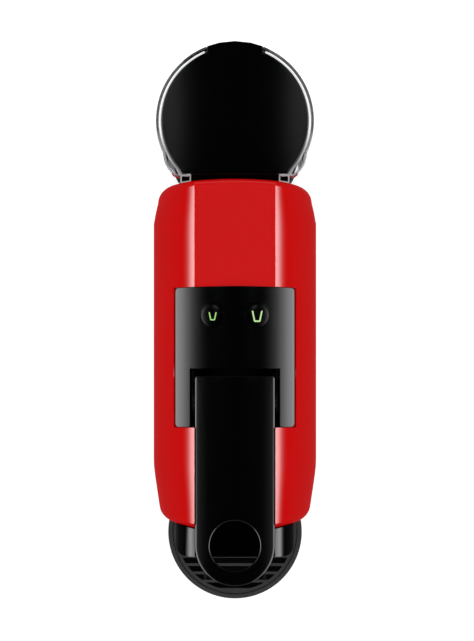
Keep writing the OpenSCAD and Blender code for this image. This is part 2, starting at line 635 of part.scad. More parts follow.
module tank_valve() color([0.12, 0.12, 0.13]) translate([0, valve_y, 0]) difference() {
    union() {
        translate([0, 0, 17.8]) cylinder(12, r = 8, $fn = 40);
        translate([0, 0, tank_floor_z + 2.6]) cylinder(1.6, r = 11, $fn = 40);
    }
    translate([0, 0, 20.8]) cylinder(12, r = 6, $fn = 40);
    translate([0, 0, 16]) cylinder(8, r = 3.2, $fn = 32);
    for (a = [0:90:270]) rotate(a) box(4, 12, -1.5, 1.5, 25, 28);
}
module valve_seal() color([0.6, 0.2, 0.15]) translate([0, valve_y, 16.4]) difference() {
    cylinder(1.4, r = 8, $fn = 40);
    translate([0, 0, -1]) cylinder(4, r = 5.6, $fn = 32);
}
module valve_plunger() color([0.85, 0.85, 0.82]) translate([0, valve_y, 0]) {
    translate([0, 0, 17.6]) cylinder(3.3, r = 2.6, $fn = 32);
    translate([0, 0, 20.9]) cylinder(2, r = 5.4, $fn = 40);
}

// The lid: a disc with a tab at the back and a neck towards the casing, arched across
module lid_form(t) intersection() {
    union() {
        intersection() {
            translate([0, tank_y, 176 - t]) cylinder(20, r = 42.4 - t, $fn = 128);
            box(-50, 50, 91.4 + t, 170, 170, 200);
            tank_form(tank_wall + 1.1 + t, 170, 200);
        }
        up(176 - t, 195) polygon(mirrored(concat([[0, tank_y + 46 - t], [9, tank_y + 45.1 - t]],
            fillet([9, tank_y + 45.1 - t], [16.2 - t, tank_y + 43 - t], [16.2 - t, tank_y + 38], 1),
            [[16.2 - t, tank_y], [0, tank_y]])));
        up(176 - t, 195) polygon(mirrored([[25.6 - t, 87.4 + t], [25.6 - t, 88.2 + t], [30.6 - t, 88.2 + t],
            [32 - t, 91.6], [28, 96], [0, 96]]));
    }
    along_y(80, 170) translate([0, lid_top_z - t - 300]) circle(300, $fn = 180);
}
module tank_lid() color([0.03, 0.03, 0.035]) difference() {
    union() {
        difference() {
            lid_form(0);
            lid_form(2);
            // the neck is a flat hood over the hinge
            box(-50, 50, 80, 94, 170, 183);
            box(-20, 20, tank_y + 41.6, 170, 170, 183.2);
        }
        // knuckle around the pin
        along_x(42.8) polygon(concat(arc([lid_pin_y, lid_pin_z], 2.4, 180, 360, 10), [[93.6, 184], [88.8, 184]]));
    }
    both_sides() box(21.7, 24.9, 80, 94.4, 170, 184);
    translate([0, 87.4, 185.6]) rotate([45, 0, 0]) cube([60, 1, 1.6], center = true);
    translate([0, lid_pin_y, lid_pin_z]) rotate([0, 90, 0]) cylinder(80, r = 1.26, center = true, $fn = 24);
}

module lid_pin() color("silver") translate([0, lid_pin_y, lid_pin_z]) rotate([0, 90, 0])
    cylinder(48.8, r = 1.2, center = true, $fn = 24);

// Drip tray: a round bowl in front and a flat pan that runs back under the container
module drip_tray() color([0.06, 0.06, 0.065]) difference() {
    union() {
        translate([0, tray_y, tray_floor_z]) cylinder(tray_rim_z - tray_floor_z, r1 = tray_r - 1.5, r2 = tray_r, $fn = 96);
        box(-35.4, 35.4, -100, bay_back - 2, tray_floor_z, 24);
    }
    difference() {
        translate([0, tray_y, tray_floor_z + 2.4]) cylinder(60, r = tray_r - 4, $fn = 96);
        box(-40, 40, -85.6, -70, 0, 80);
    }
    translate([0, tray_y, tray_rim_z - 4]) cylinder(10, r = tray_r - 2.6, $fn = 96);
    box(-33.4, 33.4, -83.4, bay_back - 4, tray_floor_z + 2.4, 60);
    box(-20, 20, -95, -80, tray_floor_z + 2.4, 20);
}

module drip_grid() color([0.1, 0.1, 0.105]) translate([0, tray_y, 0]) {
    difference() {
        translate([0, 0, tray_rim_z - 3.9]) cylinder(3, r = tray_r - 2.9, $fn = 96);
        translate([0, 0, tray_rim_z - 8]) cylinder(10, r = tray_r - 5, $fn = 96);
    }
    intersection() {
        translate([0, 0, tray_rim_z - 3.9]) cylinder(3, r = tray_r - 4, $fn = 96);
        union() {
            for (k = [-7:7]) box(-40, 40, k * slat_pitch - 0.8, k * slat_pitch + 0.8, tray_rim_z - 3.9, tray_rim_z - 0.9);
            for (x = [-18, 18]) box(x - 0.9, x + 0.9, -40, 40, tray_rim_z - 3.9, tray_rim_z - 2.2);
        }
    }
}

module capsule_container() color([0.06, 0.06, 0.065]) difference() {
    union() {
        up(tray_floor_z + 2.4, 30) polygon(rounded([[-33, -12.6, 8], [33, -12.6, 8], [33, -83, 6], [-33, -83, 6]]));
        up(25, 84) polygon(rounded([[-35.6, -11, 9], [35.6, -11, 9], [35.6, -83, 5], [-35.6, -83, 5]]));
    }
    up(tray_floor_z + 4.6, 90) polygon(rounded([[-31, -14.6, 6], [31, -14.6, 6], [31, -81, 4], [-31, -81, 4]]));
    up(27, 90) polygon(rounded([[-33.6, -13, 7], [33.6, -13, 7], [33.6, -81, 4], [-33.6, -81, 4]]));
}

base();
rubber_feet();
base_screws();
cord_gland();
tank_spigot();
spigot_seal();
casing();
inner_frame();
frame_screws();
top_frame();
control_panel();
head_cover();
coffee_spout();
coffee_gutter();
brew_frame();
lever_shaft();
capsule_cage();
piercing_needles();
capsule_chute();
thermoblock();
thermoblock_fittings();
thermostat();
brew_hose();
pump_bracket();
pump_coil();
pump_tube();
pump_dampers();
pressure_hose();
suction_hose();
flow_meter();
flow_impeller();
control_board();
board_parts();
button_board();
button_switches();
espresso_button();
espresso_light();
lungo_button();
lungo_light();
lever();
crank_pins();
plate_carriage();
piercing_plate();
plate_seal();
water_tank();
tank_valve();
valve_seal();
valve_plunger();
tank_lid();
lid_pin();
drip_tray();
capsule_container();
drip_grid();
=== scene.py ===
import json
import math

import bmesh
import bpy
import numpy as np
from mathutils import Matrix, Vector

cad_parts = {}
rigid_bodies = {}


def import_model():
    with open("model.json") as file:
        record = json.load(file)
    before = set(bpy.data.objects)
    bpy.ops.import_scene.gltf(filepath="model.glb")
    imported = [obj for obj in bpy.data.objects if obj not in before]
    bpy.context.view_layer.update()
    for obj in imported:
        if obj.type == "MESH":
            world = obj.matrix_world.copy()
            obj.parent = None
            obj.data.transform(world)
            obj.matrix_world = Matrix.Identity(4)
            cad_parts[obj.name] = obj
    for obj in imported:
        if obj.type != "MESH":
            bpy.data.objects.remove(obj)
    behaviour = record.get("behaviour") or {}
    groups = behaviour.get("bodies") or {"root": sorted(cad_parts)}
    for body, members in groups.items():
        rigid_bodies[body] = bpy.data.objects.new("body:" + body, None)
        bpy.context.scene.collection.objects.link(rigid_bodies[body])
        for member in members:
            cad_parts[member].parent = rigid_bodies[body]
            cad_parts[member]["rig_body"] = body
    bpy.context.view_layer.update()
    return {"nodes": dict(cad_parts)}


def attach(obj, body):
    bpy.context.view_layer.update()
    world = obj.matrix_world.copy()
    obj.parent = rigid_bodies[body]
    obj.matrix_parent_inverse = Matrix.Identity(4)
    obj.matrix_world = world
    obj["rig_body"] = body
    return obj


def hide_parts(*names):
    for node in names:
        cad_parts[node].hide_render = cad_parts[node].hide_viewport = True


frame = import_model()

# ---------------------------------------------------------------- camera, table and light
# The machine stands on a white table and is seen from straight above, through a long lens three metres up.
# Strip lamps along both flanks draw the long highlights on its gloss mouldings.
scene = bpy.context.scene
scene.view_settings.view_transform = "Standard"

lens = bpy.data.cameras.new("overhead_camera")
lens.sensor_width = 36.0
lens.lens = 273.5
lens.clip_end = 20.0
camera = bpy.data.objects.new("overhead_camera", lens)
camera.location = (0.0012, 0.0034, 3.0)
scene.collection.objects.link(camera)
scene.camera = camera


def feed(tree, node, inputs):
    """Gives each named input of the node a value, or links it to the output of another node."""
    for socket, value in inputs.items():
        if isinstance(value, bpy.types.NodeSocket):
            tree.links.new(value, node.inputs[socket])
        else:
            node.inputs[socket].default_value = value
    return node


def wired(tree, kind, inputs=None, **traits):
    """New node in the tree, with its traits set and its inputs fed."""
    node = tree.nodes.new("ShaderNode" + kind)
    for trait, value in traits.items():
        setattr(node, trait, value)
    return feed(tree, node, inputs or {})


def maths(tree, operation, *inputs):
    """Result of one math operation on values or sockets."""
    return wired(tree, "Math", dict(enumerate(inputs)), operation=operation).outputs[0]


def mapped(tree, value, low, high, to_low=0.0, to_high=1.0):
    """The value's range low to high carried over to to_low to to_high, and held at both ends."""
    return wired(tree, "MapRange", {"Value": value, "From Min": low, "From Max": high, "To Min": to_low,
                                    "To Max": to_high}).outputs[0]


def plain_white(name, seen):
    """White that camera, gloss and clear plastic see as plain white, and that takes shadow as matt paper."""
    m = bpy.data.materials.new(name + "_finish")
    m.use_nodes = True
    t = m.node_tree
    t.nodes.clear()
    paper = wired(t, "BsdfDiffuse", {"Color": (0.8, 0.8, 0.8, 1)}).outputs[0]
    glow = wired(t, "Emission", {"Color": (1, 1, 1, 1), "Strength": seen}).outputs[0]
    path = wired(t, "LightPath").outputs
    bright = path["Is Camera Ray"]
    for ray in ("Is Glossy Ray", "Is Transmission Ray"):
        bright = maths(t, "MAXIMUM", bright, path[ray])
    both = wired(t, "AddShader", {0: paper, 1: glow}).outputs[0]
    mix = wired(t, "MixShader", {"Fac": bright, 1: paper, 2: both}).outputs[0]
    wired(t, "OutputMaterial", {"Surface": mix})
    return m


table = bpy.data.meshes.new("table")
table.from_pydata([(-3, -3, 0), (3, -3, 0), (3, 3, 0), (-3, 3, 0)], [], [(0, 1, 2, 3)])
table_top = bpy.data.objects.new("table", table)
table_top.data.materials.append(plain_white("table_white", 0.62))
scene.collection.objects.link(table_top)

world = bpy.data.worlds.new("studio")
scene.world = world
world.use_nodes = True


def studio_air(t, diffuse):
    """Light from around: 1 where the eye or clear plastic meets it, diffuse for plain lighting. In
    reflections it is the studio itself: dark overhead, a long soft lamp along each flank whose strength is a
    curve over the angle from the vertical, a dimmer one at each end, and little near the floor or towards
    the back."""
    curve_top, lamp_strength = 5.0, 7.2
    path = wired(t, "LightPath").outputs
    split = wired(t, "SeparateXYZ", {0: wired(t, "TexCoord").outputs["Generated"]}).outputs

    def over_angle(side, curve):
        """Strength against the angle from the vertical, in degrees, as straight pieces through curve."""
        angle = maths(t, "ARCTAN2", maths(t, "ABSOLUTE", side), split["Z"])
        ramp = wired(t, "ValToRGB", {0: maths(t, "DIVIDE", angle, math.pi)})
        stops = ramp.color_ramp.elements
        for i, (degrees, value) in enumerate(curve):
            stop = stops[i] if i < 2 else stops.new(degrees / 180)
            stop.position = degrees / 180
            stop.color = (*[value / curve_top] * 3, 1)
        return maths(t, "MULTIPLY", ramp.outputs["Color"], lamp_strength)

    flank = over_angle(split["X"], (
        (30, 0), (36, 0.12), (40, 0.35), (45, 0.8), (49, 1.5), (54, 2.6), (58, 3.9), (64, 5.0), (70, 5.0),
        (73, 4.2), (76, 2.5), (80, 1.0), (84, 0.35), (88, 0.15), (92, 0.15)))
    ends = over_angle(split["Y"], ((30, 0), (45, 0.3), (60, 1.4), (74, 1.6), (86, 0.6), (92, 0.5)))
    long_way = maths(t, "POWER", maths(t, "ABSOLUTE", split["Y"]), 3.0)
    short_way = maths(t, "SUBTRACT", 1.0, long_way)
    seen = maths(t, "ADD", maths(t, "MULTIPLY", flank, short_way), maths(t, "MULTIPLY", ends, long_way))
    seen = maths(t, "MULTIPLY", seen, mapped(t, split["Y"], 0.12, 0.4, 1.0, 0.25))
    strength = diffuse
    for ray, value in (("Is Glossy Ray", seen), ("Is Transmission Ray", 1.0), ("Is Camera Ray", 1.0)):
        strength = wired(t, "Mix", {"Factor": path[ray], "A": strength, "B": value}).outputs["Result"]
    feed(t, t.nodes["Background"], {"Color": (1, 1, 1, 1), "Strength": strength})


world.cycles.sampling_method = "NONE"
studio_air(world.node_tree, 0.56)


def soft_lamp(name, place, aim, size, watts, lights_matt=True):
    """Area lamp at place, turned towards aim, size = (along y, upwards). It either lights matt surfaces or
    is only seen as a reflection."""
    lamp = bpy.data.lights.new(name, "AREA")
    lamp.shape = "RECTANGLE"
    lamp.size, lamp.size_y = size
    lamp.energy = watts
    o = bpy.data.objects.new(name, lamp)
    o.location = place
    o.rotation_euler = (Vector(aim) - Vector(place)).to_track_quat("-Z", "Y").to_euler()
    o.visible_glossy = not lights_matt
    o.visible_diffuse = lights_matt
    scene.collection.objects.link(o)


soft_lamp("overhead_lamp", (0.0, 0.3, 1.9), (0, 0, 0.1), (1.6, 1.2), 12)
for side in (-1, 1):
    soft_lamp(f"flank_lamp_{side}", (side * 1.3, 0.0, 1.0), (0, 0, 0.19), (2.0, 0.5), 4.6)
    soft_lamp(f"lid_lamp_{side}", (side * 0.5, 0.235, 1.75), (0, 0.13, 0.18), (0.17, 0.24), 0.11,
              lights_matt=False)

# ---------------------------------------------------------------- base, feet, screws and cord gland
# The base pan is one black moulding that carries everything: a tongue for the tray in front, the pan under
# the casing and the tank's platform behind. Rubber feet are pressed in; screws hold the casing from below.
MM = 0.001


def blended(tree, factor, first, second):
    """Colour that goes from first to second with the factor."""
    return wired(tree, "Mix", {"Factor": factor, 6: first, 7: second}, data_type="RGBA").outputs[2]


def scaled(tree, colour, factor):
    """Colour times factor."""
    return wired(tree, "VectorMath", {0: colour, "Scale": factor}, operation="SCALE").outputs[0]


def raised(tree, height, strength, distance=0.0003):
    """Normal of a surface raised by height."""
    bump = wired(tree, "Bump", {"Strength": strength, "Distance": distance, "Height": height})
    return bump.outputs["Normal"]


def in_place(tree):
    """Object coordinates."""
    return wired(tree, "TexCoord").outputs["Object"]


def moulding_group():
    """Node group for moulded plastic. Colour = base * (1 + cloud * (noise - 0.5)), paler on edges by wear;
    roughness = gloss + flow * stretched noise; height = fine noise."""
    g = bpy.data.node_groups.new("moulded_skin", "ShaderNodeTree")
    new_socket = g.interface.new_socket
    for label, value in (("Base", (0.5, 0.5, 0.5, 1)), ("Cloud", 0.05), ("Gloss", 0.15), ("Flow", 0.04),
                         ("Grain", 600.0), ("Wear", 0.0)):
        kind = "NodeSocketColor" if label == "Base" else "NodeSocketFloat"
        new_socket(label, in_out="INPUT", socket_type=kind).default_value = value
    for label in ("Colour", "Roughness", "Height"):
        kind = "NodeSocketColor" if label == "Colour" else "NodeSocketFloat"
        new_socket(label, in_out="OUTPUT", socket_type=kind)
    given, place = g.nodes.new("NodeGroupInput").outputs, in_place(g)
    cloud = wired(g, "TexNoise", {"Vector": place, "Scale": 38, "Detail": 4}).outputs["Fac"]
    around_one = maths(g, "MULTIPLY_ADD", maths(g, "SUBTRACT", cloud, 0.5), given["Cloud"], 1.0)
    edge = mapped(g, wired(g, "NewGeometry").outputs["Pointiness"], 0.52, 0.62)
    colour = blended(g, maths(g, "MULTIPLY", edge, given["Wear"]), scaled(g, given["Base"], around_one),
                     (0.4, 0.4, 0.4, 1))
    stretch = wired(g, "Mapping", {"Vector": place, "Scale": (3.0, 0.6, 1.5)}).outputs[0]
    flow = wired(g, "TexNoise", {"Vector": stretch, "Scale": 14, "Detail": 6}).outputs["Fac"]
    rough = maths(g, "MULTIPLY_ADD", flow, given["Flow"], given["Gloss"])
    grain = wired(g, "TexNoise", {"Vector": place, "Scale": given["Grain"], "Detail": 2}).outputs["Fac"]
    feed(g, g.nodes.new("NodeGroupOutput"), {"Colour": colour, "Roughness": rough, "Height": grain})
    return g


SKIN = moulding_group()


def new_finish(name):
    """New material, with its tree and its shader."""
    m = bpy.data.materials.new(name + "_finish")
    m.use_nodes = True
    return m, m.node_tree, m.node_tree.nodes["Principled BSDF"]


def plastic(name, colour, gloss, flow=0.03, cloud=0.05, grain=900.0, bump=0.02, wear=0.0, specular=0.5,
            polish_ior=None):
    """Moulded plastic: colour in linear light, gloss = lowest roughness, grain = skin pattern per metre,
    bump = strength of that skin. polish_ior adds a clear gloss where the surface faces the eye, gone at a
    glance."""
    m, t, shader = new_finish(name)
    skin = wired(t, "Group", {"Base": (*colour, 1), "Gloss": gloss, "Flow": flow, "Cloud": cloud,
                              "Grain": grain, "Wear": wear}, node_tree=SKIN).outputs
    feed(t, shader, {"Base Color": skin["Colour"], "Roughness": skin["Roughness"],
                     "Normal": raised(t, skin["Height"], bump), "Specular IOR Level": specular})
    if polish_ior:
        facing = wired(t, "LayerWeight", {"Blend": 0.5}).outputs["Facing"]
        feed(t, shader, {"Coat Weight": mapped(t, facing, 0.21, 0.31, 1.0, 0.03), "Coat Roughness": gloss,
                         "Coat IOR": polish_ior})
    return m


def settle(o, material, sharp):
    """Applies the object's modifiers, gives it its material, and shades it smooth between faces that meet at
    less than sharp degrees, with the wide faces keeping their own direction."""
    for weighted in (False, True):
        if weighted:
            w = o.modifiers.new("wide_faces_rule", "WEIGHTED_NORMAL")
            w.weight, w.keep_sharp = 50, True
        old = o.data
        made = bpy.data.meshes.new_from_object(o.evaluated_get(bpy.context.evaluated_depsgraph_get()))
        o.modifiers.clear()
        o.data = made
        bpy.data.meshes.remove(old)
        if not weighted:
            made.polygons.foreach_set("use_smooth", np.ones(len(made.polygons), bool))
            made.set_sharp_from_angle(angle=math.radians(sharp))
    made.name = o.name
    made.materials.clear()
    made.materials.append(material)


def round_edges(o, edge, steps, angle):
    """Rounds every edge sharper than angle degrees by edge mm."""
    w = o.modifiers.new("edge", "BEVEL")
    w.width, w.segments, w.limit_method, w.angle_limit = edge * MM, steps, "ANGLE", math.radians(angle)
    w.use_clamp_overlap = True


def eased(node, material, edge=0.4, steps=2):
    """Copy of a CAD node as it leaves the mould: its points welded, flat areas joined, and every edge
    sharper than 32 degrees rounded by edge mm. It takes the node's place and rides on the node's body."""
    mesh = frame["nodes"][node].data.copy()
    mesh.name = node + "_skin"
    b = bmesh.new()
    b.from_mesh(mesh)
    bmesh.ops.remove_doubles(b, verts=b.verts, dist=2e-6)
    bmesh.ops.dissolve_limit(b, angle_limit=math.radians(0.4), verts=b.verts, edges=b.edges)
    bmesh.ops.connect_verts_concave(b, faces=b.faces)
    b.to_mesh(mesh)
    b.free()
    o = bpy.data.objects.new(node + "_skin", mesh)
    scene.collection.objects.link(o)
    round_edges(o, edge, steps, 32)
    settle(o, material, 30.0)
    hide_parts(node)
    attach(o, frame["nodes"][node]["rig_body"])
    return o


satin = dict(colour=(0.0105, 0.0105, 0.0115), gloss=0.42, flow=0.06, cloud=0.12, grain=2600.0, bump=0.12,
             wear=0.03, specular=0.22)
satin_black = plastic("satin_black", **satin)
rubber = plastic("rubber", (0.018, 0.018, 0.018), 0.62, flow=0.1, cloud=0.2, grain=3200.0, bump=0.2,
                 specular=0.2)


def metal(name, colour, gloss, grain_along=(1, 1, 1), grain=160.0, depth=0.05, stain=0.05):
    """Bare metal: colour = base * (1 - 2 stain to 1 + stain, by noise), roughness = gloss + stretched noise,
    and fine tool marks raised along the direction in which grain_along is smallest."""
    m, t, shader = new_finish(name)
    stretch = wired(t, "Mapping", {"Vector": in_place(t), "Scale": grain_along}).outputs[0]
    marks = wired(t, "TexNoise", {"Vector": stretch, "Scale": grain, "Detail": 5}).outputs["Fac"]
    feed(t, shader, {"Base Color": scaled(t, colour, mapped(t, marks, 0, 1, 1 - stain * 2, 1 + stain)),
                     "Roughness": mapped(t, marks, 0, 1, gloss - 0.06, gloss + 0.1),
                     "Normal": raised(t, marks, depth, 0.0002), "Metallic": 1.0})
    return m


steel = metal("steel", (0.62, 0.62, 0.63), 0.24, grain_along=(1, 8, 8), grain=220.0)
eased("base", satin_black, edge=0.5)
eased("cord_gland", rubber, edge=0.25)
eased("rubber_feet", rubber, edge=0.4)
eased("base_screws", steel, edge=0.15)

# ---------------------------------------------------------------- works inside the casing
# Plastic carriers, the cast aluminium heater, the pump with its wound coil, hoses, boards and the brewing
# gear that slides along the guide rails. Screws and snaps hold them to the inner frame; most of them show
# only through gaps.
seal = plastic("seal", (0.30, 0.045, 0.022), 0.5, flow=0.08, cloud=0.2, grain=2200.0, bump=0.1, specular=0.3)
cast_aluminium = metal("cast_aluminium", (0.55, 0.56, 0.57), 0.45, grain=900.0, depth=0.35, stain=0.1)
brass = metal("brass", (0.66, 0.46, 0.17), 0.26, grain_along=(6, 1, 6), grain=300.0)
ivory_plastic = plastic("ivory_plastic", (0.68, 0.65, 0.55), 0.4, flow=0.08, cloud=0.1, specular=0.35)
blue_plastic = plastic("blue_plastic", (0.03, 0.08, 0.4), 0.35, flow=0.08, cloud=0.1, specular=0.35)


def wound_coil():
    """Varnished copper wire wound round the pump: dark rings, raised like wire, by a band wave along Y."""
    m = plastic("coil", (0.10, 0.035, 0.014), 0.28, cloud=0.25, specular=0.45)
    t = m.node_tree
    wave = wired(t, "TexWave", {"Vector": in_place(t), "Scale": 300, "Distortion": 0.6}, bands_direction="Y")
    feed(t, t.nodes["Principled BSDF"], {"Normal": raised(t, wave.outputs["Fac"], 0.6)})
    return m


def circuit_board():
    """Green solder mask over copper tracks: tracks are the gaps of a brick pattern, a little paler."""
    m = plastic("board_green", (0.012, 0.10, 0.035), 0.3, cloud=0.15, specular=0.45)
    t = m.node_tree
    turn = wired(t, "Mapping", {"Vector": in_place(t), "Rotation": (0, math.radians(90), 0)}).outputs[0]
    tracks = wired(t, "TexBrick", {"Vector": turn, "Scale": 120, "Mortar Size": 0.02,
                                   "Color1": (0.014, 0.12, 0.04, 1), "Color2": (0.01, 0.075, 0.028, 1),
                                   "Mortar": (0.05, 0.24, 0.08, 1)}).outputs["Color"]
    feed(t, t.nodes["Principled BSDF"], {"Base Color": tracks})
    return m


def points_of(o):
    """The object's points, in metres."""
    flat = np.empty(len(o.data.vertices) * 3)
    o.data.vertices.foreach_get("co", flat)
    return flat.reshape(-1, 3)


def move_points(o, points):
    """Puts the object's points where they are given, in metres."""
    o.data.vertices.foreach_set("co", points.ravel())
    o.data.update()


def dressed(material, *nodes):
    """Gives CAD nodes that are good as they are their finish."""
    for node in nodes:
        slots = frame["nodes"][node].material_slots
        for s in slots:
            s.material = material
        if not slots:
            frame["nodes"][node].data.materials.append(material)


carriers = ("inner_frame", "brew_frame", "top_frame", "capsule_chute", "plate_carriage", "capsule_cage")
skins = {node: eased(node, satin_black, edge=0.25, steps=1) for node in carriers}
# The rear edge of the top frame's opening is cut back, almost to the wall behind it, for the lever's cap.
opening_half, opening_rear, floor_top, cut_back = 0.0274, -0.0271, 0.1847, 0.0048
at = points_of(skins["top_frame"])
on_edge = (abs(at[:, 0]) < opening_half) & (abs(at[:, 1] - opening_rear) < 0.0006) & (at[:, 2] < floor_top)
at[on_edge, 1] += cut_back
move_points(skins["top_frame"], at)
dressed(satin_black, "coffee_gutter", "pump_dampers", "button_switches", "board_parts", "tank_spigot")
dressed(steel, "frame_screws", "lever_shaft", "piercing_needles", "piercing_plate", "pump_bracket")
dressed(cast_aluminium, "thermoblock")
dressed(brass, "thermoblock_fittings")
dressed(seal, "plate_seal", "spigot_seal")
dressed(ivory_plastic, "thermostat", "pump_tube", "brew_hose", "pressure_hose", "suction_hose", "flow_meter")
dressed(wound_coil(), "pump_coil")
dressed(circuit_board(), "control_board", "button_board")
dressed(blue_plastic, "flow_impeller")

# ---------------------------------------------------------------- casing
# Glossy red ABS shell, injection moulded in one piece: a flat spine with steep rounded shoulders, open
# below, cut back under the head for the cup. It snaps over the base; panel and lever lie in its top.
def surface(name, patches, material, wall=0.0, edge=0.0, steps=2, sharp=25.0, merge=2e-6):
    """Object made of grids of points (rows, columns, xyz in mm), each with an optional mask of the cells
    that are kept. Points closer than merge metres are welded and faces turned outwards. wall = thickness
    added inwards, edge = radius of its rounded edges; smooth between faces at less than sharp degrees."""
    points, faces, start = [], [], 0
    for grid, keep in patches:
        r, c = grid.shape[:2]
        i = np.arange(r * c).reshape(r, c) + start
        quad = np.stack([i[:-1, :-1], i[:-1, 1:], i[1:, 1:], i[1:, :-1]], -1)
        faces.append((quad if keep is None else quad[keep]).reshape(-1, 4))
        points.append(grid.reshape(-1, 3))
        start += r * c
    mesh = bpy.data.meshes.new(name)
    mesh.from_pydata((np.concatenate(points) * MM).tolist(), [], np.concatenate(faces).tolist())
    b = bmesh.new()
    b.from_mesh(mesh)
    bmesh.ops.remove_doubles(b, verts=b.verts, dist=merge)
    bmesh.ops.dissolve_degenerate(b, edges=b.edges, dist=merge)
    bmesh.ops.delete(b, geom=[v for v in b.verts if not v.link_faces], context="VERTS")
    bmesh.ops.recalc_face_normals(b, faces=b.faces)
    b.to_mesh(mesh)
    b.free()
    o = bpy.data.objects.new(name, mesh)
    scene.collection.objects.link(o)
    if wall:
        w = o.modifiers.new("wall", "SOLIDIFY")
        w.thickness, w.offset = wall * MM, -1
    if edge:
        round_edges(o, edge, steps, 35)
    settle(o, material, sharp)
    return o


def ease(t):
    """Smooth step from 0 to 1."""
    t = np.clip(t, 0, 1)
    return t * t * (3 - 2 * t)


def on_circle(r, a, centre=(0, 0)):
    """Points at the angles a on a circle."""
    return np.stack([centre[0] + r * np.cos(a), centre[1] + r * np.sin(a)], -1)


def rounded_path(corners):
    """Open path through corners (a, b, radius), each corner turned with an arc of eight steps."""
    out = [np.array(corners[0][:2], float)]
    for k in range(1, len(corners) - 1):
        a, p, c = (np.array(corners[k + d][:2], float) for d in (-1, 0, 1))
        r = corners[k][2]
        if r <= 0:
            out.append(p)
            continue
        u, v = (a - p) / np.linalg.norm(a - p), (c - p) / np.linalg.norm(c - p)
        half = math.acos(np.clip(u @ v, -1, 1)) / 2
        centre = p + (u + v) / np.linalg.norm(u + v) * r / math.sin(half)
        s, e = p + u * r / math.tan(half) - centre, p + v * r / math.tan(half) - centre
        first = math.atan2(s[1], s[0])
        turn = (math.atan2(e[1], e[0]) - first + math.pi) % (2 * math.pi) - math.pi
        out += list(on_circle(r, first + turn * np.arange(9) / 8, centre))
    out.append(np.array(corners[-1][:2], float))
    return np.array(out)


def mirrored(patches):
    """The patches and their mirror images across the middle plane."""
    return patches + [(g[::-1] * (-1, 1, 1), None if k is None else k[::-1]) for g, k in patches]


